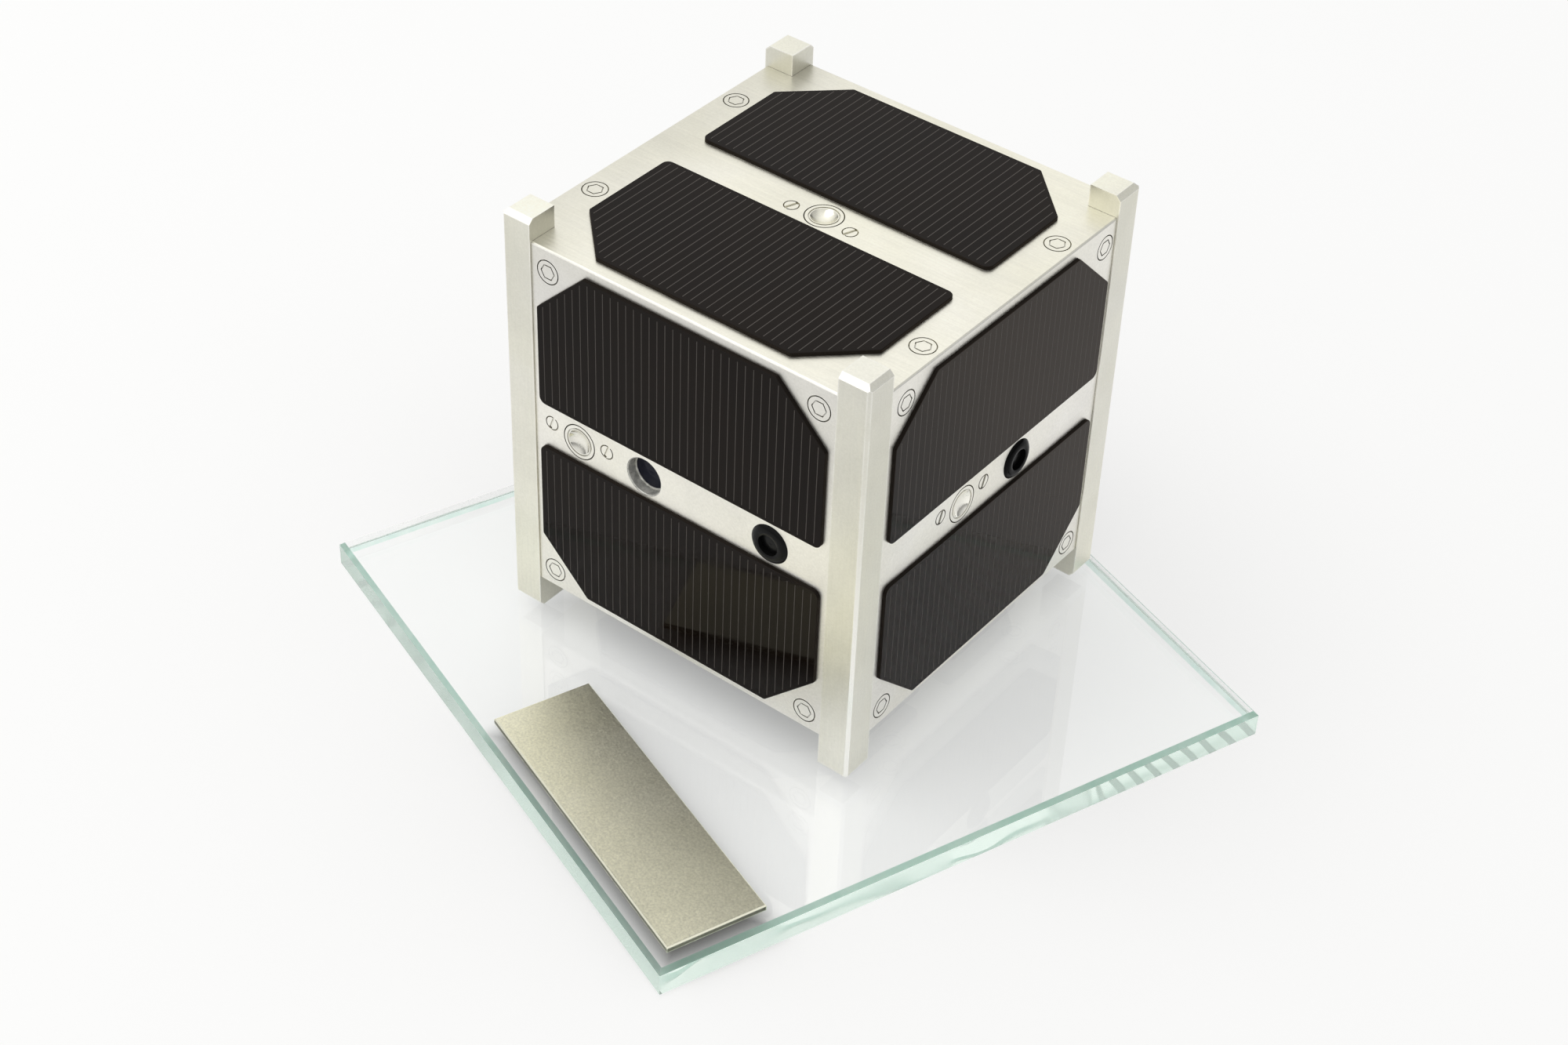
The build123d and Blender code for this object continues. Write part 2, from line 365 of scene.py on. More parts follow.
# %% Helpers: make a group and place it
def start_group(name, inputs, outputs):
    """A shader node group; inputs are (name, kind, starting value) rows and outputs are names."""
    group = bpy.data.node_groups.new(name, "ShaderNodeTree")
    for label, kind, value in inputs:
        socket = group.interface.new_socket(label, in_out="INPUT", socket_type="NodeSocket" + kind)
        socket.default_value = value
    for label in outputs:
        group.interface.new_socket(label, in_out="OUTPUT", socket_type="NodeSocketFloat")
    print("group", name, "takes", [row[0] for row in inputs], "and gives", outputs)
    return group, group.nodes.new("NodeGroupInput").outputs, group.nodes.new("NodeGroupOutput")


def place_group(tree, group, **values):
    """Puts a group in a material's tree, fills in its inputs and returns its first output."""
    return add(tree, "ShaderNodeGroup", group.name, node_tree=group, **values).outputs[0]


print("group helpers ready")

# %% [markdown]
# ### Brushed streaks
# A brush or a fine belt leaves thousands of hair-thin scratches that all run the same way. They could be
# drawn with a wave texture, but that repeats. Noise that is squeezed across the brush and stretched along it
# looks right, because every streak differs in length and depth. The inputs turn the streaks and set their
# size.


# %% Brushed streaks
def make_streaks():
    group, enter, leave = start_group(
        "brushed_streaks",
        [("Turn", "Float", 0.0), ("Stretch", "Vector", (1, 1, 1)), ("Per Metre", "Float", 1000.0)],
        ["Streaks"])
    spot = add(group, "ShaderNodeTexCoord").outputs["Object"]
    turned = add(group, "ShaderNodeVectorRotate", "", spot, rotation_type="Z_AXIS", Angle=enter["Turn"])
    squeezed = vectors(group, "MULTIPLY", turned.outputs[0], enter["Stretch"])
    noise = add(group, "ShaderNodeTexNoise", "", squeezed, Scale=enter["Per Metre"], Detail=3.0,
                Roughness=0.6)
    fill(group, leave, Streaks=noise.outputs[0])
    return group


streaks_group = make_streaks()

# %% [markdown]
# ### Clouded shade
# Satin metal is never one even grey. Blasting, handling and oxidation leave soft patches a few millimetres to
# a few centimetres across, and a fine sparkle of single grains. Two noises of different size, added together,
# give both at once. The material uses the result to lighten and darken its colour by a few hundredths.


# %% Clouded shade
def make_clouds():
    group, enter, leave = start_group(
        "clouded_shade",
        [("Patches Per Metre", "Float", 60.0), ("Grains Per Metre", "Float", 1800.0),
         ("Grain Share", "Float", 0.4)],
        ["Shade"])
    patches = noise_over(group, "patches", Scale=enter["Patches Per Metre"], Detail=3.0, Roughness=0.55,
                         Distortion=0.4)
    grains = noise_over(group, "grains", Scale=enter["Grains Per Metre"], Detail=2.0, Roughness=0.7)
    fill(group, leave, Shade=mixed(group, "both", enter["Grain Share"], patches, grains, "FLOAT"))
    return group


clouds_group = make_clouds()

# %% [markdown]
# ### Worn edges with a painted highlight
# Edges are touched and rubbed more than flat faces, so they turn smoother and brighter. Their bright
# colour is also a painted highlight, for the light that edges catch. Painting them by hand would take
# long. The Bevel node gives the normal that a rounded edge would have, and where it differs from the true
# normal there must be an edge nearby. Some noise breaks the line up, as real wear is uneven.

# %% Worn edges with a painted highlight
EDGE_NEARBY = dict(From_Min=0.998, From_Max=0.9)
UNEVEN_WEAR = dict(From_Min=0.3, From_Max=0.55, To_Min=0.35)


def make_edges():
    group, enter, leave = start_group(
        "worn_and_highlit_edges",
        [("Width", "Float", 0.4 * MM), ("Breaks Per Metre", "Float", 300.0)],
        ["Edge"])
    rounded = add(group, "ShaderNodeBevel", samples=4, Radius=enter["Width"])
    true = add(group, "ShaderNodeNewGeometry")
    alike = vectors(group, "DOT_PRODUCT", rounded.outputs[0], true.outputs["Normal"])
    mask = ramped(group, alike, "an edge nearby", **EDGE_NEARBY)
    noise = noise_over(group, Scale=enter["Breaks Per Metre"], Detail=3.0)
    kept = ramped(group, noise, "uneven wear", **UNEVEN_WEAR)
    fill(group, leave, Edge=calculated(group, "MULTIPLY", "broken line", mask, kept))
    return group


edges_group = make_edges()

# %% [markdown]
# ### Painted shade in the gaps
# The seams between plates, the rings round the screw heads and the engraved hexagons are painted dark, as
# painted shade where little light gets in. The Ambient Occlusion node tells how much of the sky a point sees
# within a short distance. In a groove that is little, so a ramp from open to closed makes a mask for the
# painted shade.


# %% Painted shade in the gaps
def make_gap_shade():
    group, enter, leave = start_group(
        "painted_gap_shade",
        [("Reach", "Float", 0.35 * MM), ("Open", "Float", 0.65), ("Closed", "Float", 0.3)],
        ["Grime"])
    around = add(group, "ShaderNodeAmbientOcclusion", samples=4, Distance=enter["Reach"]).outputs["AO"]
    fill(group, leave, Grime=ramped(group, around, From_Min=enter["Open"], From_Max=enter["Closed"]))
    return group


gap_shade_group = make_gap_shade()

# %% [markdown]
# ### Finger marks
# A display piece is picked up now and then. Fingers leave faint cloudy marks that show only in the gloss, not
# in the colour. Noise with a strong distortion makes smeared islands, and a narrow ramp keeps just the
# strongest of them, so most of the surface stays clean.


# %% Finger marks
def make_smears():
    group, enter, leave = start_group(
        "finger_smears",
        [("Smears Per Metre", "Float", 45.0), ("Least", "Float", 0.5), ("Most", "Float", 0.75)],
        ["Smear"])
    noise = noise_over(group, Scale=enter["Smears Per Metre"], Detail=4.0, Roughness=0.6, Distortion=1.6)
    fill(group, leave, Smear=ramped(group, noise, From_Min=enter["Least"], From_Max=enter["Most"]))
    return group


smears_group = make_smears()

# %% [markdown]
# ### Slow drift of shade
# The metal pieces that ask for it are painted lighter at one end and darker at the other, as painted shade
# over their whole length, and the cells that face along X turn lighter and browner along one direction. The
# group measures how far a point lies along a direction and turns that into 0 at the start and 1 at the end.
# A smooth ramp leaves no visible start.


# %% Slow drift of shade
def make_drift():
    group, enter, leave = start_group(
        "slow_drift",
        [("Direction", "Vector", (0, 0, 1)), ("Start", "Float", 0.0), ("End", "Float", 0.1)],
        ["Drift"])
    spot = add(group, "ShaderNodeTexCoord").outputs["Object"]
    along = vectors(group, "DOT_PRODUCT", spot, enter["Direction"])
    fill(group, leave, Drift=ramped(group, along, interpolation_type="SMOOTHSTEP",
                                    From_Min=enter["Start"], From_Max=enter["End"]))
    return group


drift_group = make_drift()

# %% [markdown]
# ### Which way a surface faces
# A flat skin and the edges round it often have different finishes, such as the glossy front of a solar cell
# and its dull cut sides. Both belong to one solid, so the material needs a mask. The dot product of the
# surface normal with the axis that the skin faces is 1 on the skin and near 0 on the sides, and a ramp
# sharpens it.

# %% Which way a surface faces
AXES = {"x": (1, 0, 0), "y": (0, 1, 0), "z": (0, 0, 1)}
FACE_AXIS = {"front": "y", "back": "y", "right": "x", "left": "x", "top": "z", "bottom": "z"}


def make_square_on():
    group, enter, leave = start_group(
        "square_on",
        [("Axis", "Vector", (0, 0, 1)), ("Least", "Float", 0.75), ("Most", "Float", 0.97)],
        ["Flat"])
    true = add(group, "ShaderNodeNewGeometry").outputs["True Normal"]
    along = vectors(group, "DOT_PRODUCT", true, enter["Axis"])
    either_way = calculated(group, "ABSOLUTE", "either way", along)
    fill(group, leave, Flat=ramped(group, either_way, From_Min=enter["Least"], From_Max=enter["Most"]))
    return group


square_group = make_square_on()

# %% [markdown]
# ## Satin aluminium
# The rails and plates are satin aluminium: a metal with a warm white tint, rough enough to blur what it
# mirrors. One recipe makes all the metal finishes, and only a row of values tells them apart. It is built up
# in four steps. The first is the colour, which drifts between warmer and cooler patches and is made lighter
# and darker by clouds and streaks. A flat colour would look like painted plastic.

# %% The colour of satin metal
NOISE_LOW = 0.3
NOISE_HIGH = 0.7
PATCHES_PER_METRE = 32.0
TINTS_PER_METRE = 0.6 * PATCHES_PER_METRE
TINT_GRAINS = 0.1
COOLER = (0.985, 0.99, 1.07)


def scaled(tree, source, label, centre=0.5, swing=1.0):
    """Maps a noise, which mostly runs from low to high, to centre plus or minus half of swing."""
    return ramped(tree, source, label, From_Min=NOISE_LOW, From_Max=NOISE_HIGH,
                  To_Min=centre - swing / 2, To_Max=centre + swing / 2)


def tinted(tree, colour):
    """A colour that drifts between warmer and cooler patches."""
    tints = place_group(tree, clouds_group, Patches_Per_Metre=TINTS_PER_METRE, Grain_Share=TINT_GRAINS)
    cooler = (*(v * share for v, share in zip(colour, COOLER)), 1)
    how_cool = scaled(tree, tints, "how cool")
    return mixed(tree, "warmer and cooler patches", how_cool, (*colour, 1), cooler)


def brightness(tree, streaks, cloud, grains, streak):
    """How light the metal is. Cloud and streak are strengths, and grains is the share of single grains."""
    clouds = place_group(tree, clouds_group, Patches_Per_Metre=PATCHES_PER_METRE, Grain_Share=grains)
    return calculated(tree, "MULTIPLY", "clouds and streaks",
                      scaled(tree, clouds, "cloud to brightness", 1.0, cloud),
                      scaled(tree, streaks, "streak to brightness", 1.0, streak))


print("noise counts from", NOISE_LOW, "to", NOISE_HIGH, "and patches are",
      round(1 / PATCHES_PER_METRE / MM), "mm apart")

# %% [markdown]
# ### Wear, painted highlights and painted shade
# The second step lays wear, painted highlights and painted shade over the colour. Edges are rubbed and also
# painted bright as a highlight, and gaps get a painted shade. The bright edges show through whatever shade
# lies beside them, and the gap shade lies on top of both, so the edges are mixed in first and the gap shade
# last. The middle of a narrow bevel is flat again, and the edge mask misses it. So bevels are found by the
# way they face: a corner axis is the direction that a bevel looks along, and those bevels are painted bright.

# %% Wear, painted highlights and painted shade
# colour of rubbed edges, which is also their painted highlight
WORN_AND_HIGHLIGHT_COLOUR = (0.97, 0.96, 0.92, 1)
# near-black colour of the painted shade in gaps and grooves
GAP_SHADE_COLOUR = (0.045, 0.038, 0.028, 1)
BEVEL_SLOPE = dict(Least=0.9, Most=0.98)


def wear_and_highlight_share(tree, edge_light, edge_width, corner_axes, highlight_end, slow):
    """How much the metal is rubbed and painted bright. Bevels that face a corner axis get a painted
    highlight, fully where the drift starts and by the end share where it ends."""
    edges = place_group(tree, edges_group, Width=edge_width)
    wear_and_highlight = calculated(tree, "MULTIPLY", "rubbed edges", edges, edge_light)
    # bevels that face a corner axis are painted bright as a highlight, less so farther along the drift
    for corner_axis in corner_axes:
        corner = place_group(tree, square_group, Axis=corner_axis, **BEVEL_SLOPE)
        fading = ramped(tree, slow, "less rubbed farther on", To_Min=1.0, To_Max=highlight_end)
        rubbed = calculated(tree, "MULTIPLY", "rubbed bevel", corner, fading)
        wear_and_highlight = calculated(tree, "MAXIMUM", "worn edge or bevel", wear_and_highlight, rubbed)
    return wear_and_highlight


def with_wear_highlight_and_shade(tree, tone, wear_and_highlight, worn_and_highlight_colour, gap_shade_dark):
    """A colour with its worn and painted-bright edges, and with painted shade in its gaps."""
    worn = mixed(tree, "worn edge colour", wear_and_highlight, tone, worn_and_highlight_colour)
    gap_shade = calculated(tree, "MULTIPLY", "how dark the grime is", place_group(tree, gap_shade_group), gap_shade_dark)
    return mixed(tree, "grime colour", gap_shade, worn, GAP_SHADE_COLOUR)


print("wear and dirt ready")

# %% [markdown]
# ### Gloss
# The third step is the roughness. It follows the same masks as the colour, so that both agree: the streaks
# make it vary, finger marks dull it and worn edges are smoother. Surfaces that turn away from the main face,
# such as the dish that a lathe cuts, may be polished.

# %% The gloss of satin metal
STREAK_SWING = 0.1
WORN_ROUGHNESS = 0.22


def metal_roughness(tree, streaks, roughness, smear, flat, polished, wear_and_highlight):
    """How rough the metal is. Polished is the roughness where the surface isn't flat, or None."""
    streaked = scaled(tree, streaks, "streak to roughness", roughness, STREAK_SWING)
    marks = place_group(tree, smears_group)
    rough = calculated(tree, "MULTIPLY_ADD", "marks dull the gloss", marks, smear, streaked)
    if polished:
        rough = mixed(tree, "polished where it turns away", flat, polished, rough, "FLOAT")
    return mixed(tree, "worn edges are smoother", wear_and_highlight, rough, WORN_ROUGHNESS, "FLOAT")


print("roughness is", WORN_ROUGHNESS, "where metal is worn")

# %% [markdown]
# ### The recipe
# The last step puts the parts together on one Principled shader. The same streaks that vary the colour and
# the gloss also make a shallow relief, because on real metal all three come from the same scratches. Painted
# shade along the piece, and painted light or shade on the surfaces that face along its main axis or turn away
# from it, are only added where a finish asks for them.

# %% A recipe for satin metal
METAL_RELIEF = 0.12
GRAIN_DEPTH = 0.02 * MM


def satin_metal(name, colour, roughness, stretch, per_metre, turn=0.0, cloud=0.14, grains=0.25, streak=0.06,
                edge_light=0.3, edge_width=0.4 * MM, worn_and_highlight_colour=WORN_AND_HIGHLIGHT_COLOUR, gap_shade_dark=0.9, smear=0.08,
                drift=None, axis=None, slope=(0.75, 0.97), facing_painted_light=1.0, turned_away_painted_light=1.0, polished=None,
                corner_axes=(), highlight_end=1.0):
    """Satin metal. A drift is (direction, start, end, shade at start, shade at end), a painted shade along
    the piece. Where an axis is given, the surfaces that face along it and the others that turn away are
    painted lighter or darker by a factor each, and the others are polished. Surfaces that face along a corner
    axis get a painted highlight, which fades along the drift."""
    material, tree, shader = start_material(name, Metallic=1.0)
    streaks = place_group(tree, streaks_group, Turn=turn, Stretch=stretch, Per_Metre=per_metre)
    bright = brightness(tree, streaks, cloud, grains, streak)
    slow = flat = None
    # a drift paints shade along the piece
    if drift:
        direction, begin, finish, first, last = drift
        slow = place_group(tree, drift_group, Direction=direction, Start=begin, End=finish)
        painted_shade_along = ramped(tree, slow, "drift to brightness", To_Min=first, To_Max=last)
        bright = calculated(tree, "MULTIPLY", "with drift", bright, painted_shade_along)
    # an axis paints the surfaces lighter or darker by the way they face
    if axis:
        flat = place_group(tree, square_group, Axis=AXES[axis], Least=slope[0], Most=slope[1])
        facing = ramped(tree, flat, "flat faces and others", To_Min=turned_away_painted_light, To_Max=facing_painted_light)
        bright = calculated(tree, "MULTIPLY", "with flat faces", bright, facing)
    tone = vectors(tree, "SCALE", tinted(tree, colour), Scale=bright)
    wear_and_highlight = wear_and_highlight_share(tree, edge_light, edge_width, corner_axes, highlight_end, slow)
    fill(tree, shader, Base_Color=with_wear_highlight_and_shade(tree, tone, wear_and_highlight, worn_and_highlight_colour, gap_shade_dark),
         Roughness=metal_roughness(tree, streaks, roughness, smear, flat, polished, wear_and_highlight))
    raise_relief(tree, streaks, shader, METAL_RELIEF, GRAIN_DEPTH)
    return material


print("satin metal recipe ready, relief", round(GRAIN_DEPTH / MM, 3), "mm")

# %% [markdown]
# ### Rails
# The rails are drawn bars, so their grain runs up and down and they look a shade darker than the plates.
# Their ends and end bevels, which face up and down, are painted lighter as a highlight, and the rails are
# painted darker from foot to head. The narrow bevels at their outer corners are painted bright as a
# highlight, most of all near the foot.

# %% Dress the rails
CUBE_FOOT = 10 * MM
CUBE_HEAD = 112 * MM
DIAGONAL = math.sqrt(0.5)
# painted: shade from foot to head, light on the ends, a highlight on the corner bevels
rail_metal = satin_metal("rail_satin_aluminium", (0.815, 0.80, 0.68), roughness=0.38, stretch=(1, 1, 0.06),
                         per_metre=1800.0, cloud=0.2, grains=0.35, edge_light=0.7, edge_width=0.6 * MM,
                         drift=((0, 0, 1), CUBE_FOOT, CUBE_HEAD, 1.06, 0.88),
                         axis="z", slope=(0.3, 0.7), facing_painted_light=1.34,
                         corner_axes=((DIAGONAL, DIAGONAL, 0), (DIAGONAL, -DIAGONAL, 0)), highlight_end=0.1)
dress(rail_metal, *[name for name in nodes if name.startswith("rail_")])

# %% [markdown]
# ### Plates, screws and sensors
# The side plates were blasted, which leaves a fine even grain with no direction. The top and bottom plates
# were brushed from side to side. The flush screws and the sensors were turned on a lathe: their flat faces
# are satin like the plates round them, and the grooves of the screws and the dishes of the sensors are
# polished. Each pair of opposite faces has a row of its own, with painted light and shade: the top and
# bottom plates are painted lighter than the sides, each plate with its screws and sensors is painted darker
# towards one edge, and the grooves and dishes are painted darker, except the dishes that face along X,
# which are painted lighter.

# %% Dress plates, screws and sensors
CUBE_MIDDLE = 65 * MM
BLASTED = dict(roughness=0.42, stretch=(1, 1, 1), per_metre=1600.0, cloud=0.2, grains=0.45)
BRUSHED = dict(roughness=0.38, stretch=(0.05, 1, 1), per_metre=1800.0, cloud=0.18, grains=0.35, streak=0.08)
TURNED = dict(roughness=0.36, stretch=(1, 1, 1), per_metre=2200.0, polished=0.12)
SIDE_COLOUR = (0.90, 0.88, 0.785)
# the top and bottom colour is painted lighter than the side colour, as light on the plates that face up
TOP_COLOUR = (0.955, 0.93, 0.78)
SHELL_ROWS = {
    # axis: (colour, finish of the plates, painted shade along them, painted light in the screws' grooves,
    # painted light in the sensors' dishes)
    "y": (SIDE_COLOUR, BLASTED, ((0, 0, 1), CUBE_MIDDLE, CUBE_HEAD, 1.0, 0.84), 0.75, 0.75),
    "x": (SIDE_COLOUR, BLASTED, ((0, 0, 1), CUBE_MIDDLE, CUBE_HEAD, 1.0, 0.97), 0.5, 1.1),
    "z": (TOP_COLOUR, BRUSHED, ((1, 0, 0), -57 * MM, -32 * MM, 0.84, 1.0), 0.75, 0.75),
}
for axis, (colour, finish, drift, groove_painted_shade, turned_away_painted_light) in SHELL_ROWS.items():
    plate_metal = satin_metal("plate_satin_aluminium_" + axis, colour, drift=drift, **finish)
    screw_metal = satin_metal("screw_turned_aluminium_" + axis, colour, drift=drift, axis=axis,
                              turned_away_painted_light=groove_painted_shade, **TURNED)
    sensor_metal = satin_metal("sensor_turned_aluminium_" + axis, colour, drift=drift, axis=axis,
                               turned_away_painted_light=turned_away_painted_light, **TURNED)
    shown = [face for face in FACE_AXIS if FACE_AXIS[face] == axis]
    dress(plate_metal, *[face + "_plate" for face in shown])
    dress(screw_metal, *[face + end for face in shown for end in ("_screws", "_sensor_screws")])
    dress(sensor_metal, *[face + "_sun_sensor" for face in shown])

# %% [markdown]
# ### The name plate
# The plate is nickel silver with a fine sandy finish that has hardly any direction. It is painted darker
# across its width towards the cube, as painted shade. Its bevels are smooth and carry a painted highlight.
# They lie at 45 degrees, and the diagonals between the plinth's sides and straight up find them. The
# upright sides are painted dark, as painted shade.

# %% Dress the name plate
NAME_PLATE_NEAR = -74 * MM
NAME_PLATE_FAR = -50 * MM
PLINTH_AXES = ((math.cos(PLINTH_TURN), math.sin(PLINTH_TURN), 0),
               (-math.sin(PLINTH_TURN), math.cos(PLINTH_TURN), 0))
rim_axes = [(DIAGONAL * way * x, DIAGONAL * way * y, DIAGONAL) for x, y, z in PLINTH_AXES for way in (-1, 1)]
# painted: shade across the width, a highlight on the rim and shade on the upright sides
name_metal = satin_metal("name_plate_brushed_nickel", (0.885, 0.86, 0.665), roughness=0.44,
                         stretch=(0.5, 1, 1), per_metre=1800.0, turn=-PLINTH_TURN,
                         cloud=0.34, grains=0.7, streak=0.08, smear=0.03, gap_shade_dark=0.3,
                         edge_light=1.0, edge_width=0.5 * MM, worn_and_highlight_colour=(1.0, 0.98, 0.80, 1),
                         drift=(PLINTH_AXES[1], NAME_PLATE_NEAR, NAME_PLATE_FAR, 0.97, 0.72),
                         axis="z", slope=(0.3, 0.6), turned_away_painted_light=0.3, corner_axes=rim_axes)
dress(name_metal, "name_plate")

# %% [markdown]
# ## Solar cells
# A solar cell is a nearly black wafer under a clear coating that is made to reflect as little as it can. So
# it has almost no colour of its own, and what shows is a weak reflection of the white room. A coating like
# that behaves like a glass of low index, and 1.16 to 1.18 gives its faint sheen. Coatings vary in thickness,
# which shows as slow drifts of hue between brown and blue. The cells that face along X also turn lighter and
# browner towards the back and the top. The sides of the wafer are dull metal.

# %% The colour of a cell
CELL_PATCHES = dict(Patches_Per_Metre=28.0, Grains_Per_Metre=1800.0, Grain_Share=0.25)
CELL_BROWN = (0.0080, 0.0046, 0.0026, 1)
CELL_BLUE = (0.0050, 0.0034, 0.0028, 1)
CELL_SIDE = (0.020, 0.0165, 0.0145, 1)
# where a cell turns lighter and browner: (direction, start, end, colour at the end)
CELL_TONE_RAMP = {"x": ((0, 0.8, 0.6), 20 * MM, 75 * MM, (0.030, 0.021, 0.0145, 1))}


def cell_colour(tree, flat, axis):
    """Drifting brown and blue on the skin of a cell, and dull grey on its sides."""
    clouds = place_group(tree, clouds_group, **CELL_PATCHES)
    drift = scaled(tree, clouds, "drift")
    hue = mixed(tree, "coating drifts in hue", drift, CELL_BROWN, CELL_BLUE)
    if axis in CELL_TONE_RAMP:
        direction, begin, finish, far_colour = CELL_TONE_RAMP[axis]
        slow = place_group(tree, drift_group, Direction=direction, Start=begin, End=finish)
        hue = mixed(tree, "browner farther on", slow, hue, far_colour)
    return mixed(tree, "dull sides", flat, CELL_SIDE, hue)


print("cells that turn browner face along", list(CELL_TONE_RAMP))

# %% [markdown]
# ### The cell finish
# The skin is glossy, with faint finger marks, and the sides are rough. A wafer is never quite flat, so its
# reflections waver. Modelling that would take a dense mesh, and a shallow relief of wide waves looks the
# same.

# %% Dress the solar cells
CELL_INDEX = {"x": 1.16, "y": 1.18, "z": 1.18}
CELL_TINT = (1.0, 0.93, 0.87, 1)
CELL_GLOSS = dict(To_Min=0.055, To_Max=0.12)
CELL_SIDE_ROUGHNESS = 0.6
CELL_SLOPE = dict(Least=0.6, Most=0.8)
WAVES_PER_METRE = 35.0
WAVE_RELIEF = 0.25
WAVE_DEPTH = 0.05 * MM
cell_names = [name for name in nodes if "_cell_" in name]


def make_cell_finish(axis):
    material, tree, shader = start_material("solar_cell_black_" + axis, IOR=CELL_INDEX[axis],
                                            Specular_Tint=CELL_TINT)
    flat = place_group(tree, square_group, Axis=AXES[axis], **CELL_SLOPE)
    smears = place_group(tree, smears_group, Smears_Per_Metre=30.0)
    gloss = ramped(tree, smears, "smears dull the gloss", **CELL_GLOSS)
    fill(tree, shader, Base_Color=cell_colour(tree, flat, axis),
         Metallic=calculated(tree, "SUBTRACT", "sides", 1.0, flat),
         Roughness=mixed(tree, "rough sides", flat, CELL_SIDE_ROUGHNESS, gloss, "FLOAT"))
    waves = noise_over(tree, "wafer isn't quite flat", Scale=WAVES_PER_METRE, Detail=1.0)
    raise_relief(tree, waves, shader, WAVE_RELIEF, WAVE_DEPTH)
    return material


for axis in AXES:
    dress(make_cell_finish(axis), *[name for name in cell_names if FACE_AXIS[name.split("_")[0]] == axis])

# %% [markdown]
# ### Printed lines
# Fine silver lines collect the current from each cell. They could be a striped texture, but at this size a
# real strip of metal catches light along its edge, so each line is a thin bar of mesh that lies on the cell.
# The bars follow the cell's own outline, which is read from its solid: where a corner is cut off, they stop
# short of the slanted edge by the same margin.

# %% Find each cell's flat skin
UP = (0, 0, 1)
# face: (the way it looks, up along it)
FACE_LOOKS = {"front": ((0, -1, 0), UP), "right": ((1, 0, 0), UP), "back": ((0, 1, 0), UP),
              "left": ((-1, 0, 0), UP), "top": (UP, (0, 1, 0)), "bottom": ((0, 0, -1), (0, -1, 0))}
SKIN_TOLERANCE = 0.01 * MM
DIGITS = 7


def cell_axes(name):
    """The way a cell looks, the way to its right and the way up along it."""
    normal, up = (Vector(way) for way in FACE_LOOKS[name.split("_")[0]])
    return normal, up.cross(normal), up


def skin_edges(name, normal, across, up):
    """The rim of a cell's flat outer skin as ((u, v), (u, v)) pairs, and how far out the skin lies."""
    mesh = nodes[name].data
    height = max(vertex.co.dot(normal) for vertex in mesh.vertices)
    times = {}
    for face in mesh.polygons:
        corners = [mesh.vertices[i].co for i in face.vertices]
        if min(corner.dot(normal) for corner in corners) < height - SKIN_TOLERANCE:
            continue
        flat = [(round(c.dot(across), DIGITS), round(c.dot(up), DIGITS)) for c in corners]
        for a, b in zip(flat, flat[1:] + flat[:1]):
            key = (min(a, b), max(a, b))
            times[key] = times.get(key, 0) + 1
    return [key for key, count in times.items() if count == 1], height


def span_at(rim, u):
    """Lowest and highest v where the rim crosses the line of this u."""
    hits = []
    for (u0, v0), (u1, v1) in rim:
        if u0 != u1 and min(u0, u1) <= u <= max(u0, u1):
            hits.append(v0 + (v1 - v0) * (u - u0) / (u1 - u0))
    return min(hits), max(hits)


rim, height = skin_edges("top_cell_front", *cell_axes("top_cell_front"))
print("top front cell:", len(rim), "rim edges, skin at", round(height / MM, 2), "mm")

# %% [markdown]
# ### The print
# The print is a paste of silver grains under the same clear coating as the cell, so it shows as a dull grey
# and not as bright metal. It is a little thinner in some places than in others, and noise makes it paler and
# darker there.

# %% Mix the print
PRINT_INDEX = 1.18
PRINT_THIN = (0.066, 0.058, 0.053, 1)
PRINT_THICK = (0.115, 0.103, 0.094, 1)
PRINT_GLOSS = dict(To_Min=0.25, To_Max=0.45)


def make_line_finish():
    material, tree, shader = start_material("printed_line_grey", IOR=PRINT_INDEX)
    clouds = place_group(tree, clouds_group, Patches_Per_Metre=120.0, Grains_Per_Metre=5000.0)
    fill(tree, shader, Base_Color=mixed(tree, "print varies in strength", clouds, PRINT_THIN, PRINT_THICK),
         Roughness=ramped(tree, clouds, "print varies in gloss", **PRINT_GLOSS))
    return material


line_finish = make_line_finish()
print("mixed", line_finish.name)

# %% [markdown]
# ### Laying the lines
# The lines lie at an even pitch, centred on the cell. Each bar has sloping sides, because print has no sharp
# edges. All the bars of a cell are one mesh, which is lighter than an object for each. They go with the one
# body of the model and have a finish of their own.

# %% Lay the lines
LINE_PITCH = 2.18 * MM
LINE_WIDTH = 0.2 * MM
LINE_HEIGHT = 0.02 * MM
LINE_MARGIN = 0.9 * MM
LINE_SHOULDER = 0.7


def add_bar(bm, place, u, low, high):
    """One printed line: a low bar with sloping sides. place(u, v, h) gives a point in space."""
    foot, crown = LINE_WIDTH / 2, LINE_WIDTH / 2 * LINE_SHOULDER
    slope = foot - crown
    lower = [bm.verts.new(place(u + s * foot, v, 0)) for s, v in ((-1, low), (1, low), (1, high), (-1, high))]
    upper = [bm.verts.new(place(u + s * crown, v, LINE_HEIGHT))
             for s, v in ((-1, low + slope), (1, low + slope), (1, high - slope), (-1, high - slope))]
    bm.faces.new(upper)
    bm.faces.new(lower[::-1])
    for i in range(4):
        j = (i + 1) % 4
        bm.faces.new((lower[i], lower[j], upper[j], upper[i]))


def finished_piece(bm, name, material):
    """Turns a mesh under construction into a piece that rides the body root."""
    bmesh.ops.recalc_face_normals(bm, faces=bm.faces)
    mesh = bpy.data.meshes.new(name)
    bm.to_mesh(mesh)
    bm.free()
    mesh.materials.append(material)
    piece = bpy.data.objects.new(name, mesh)
    bpy.context.scene.collection.objects.link(piece)
    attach(piece, "root")
    return piece


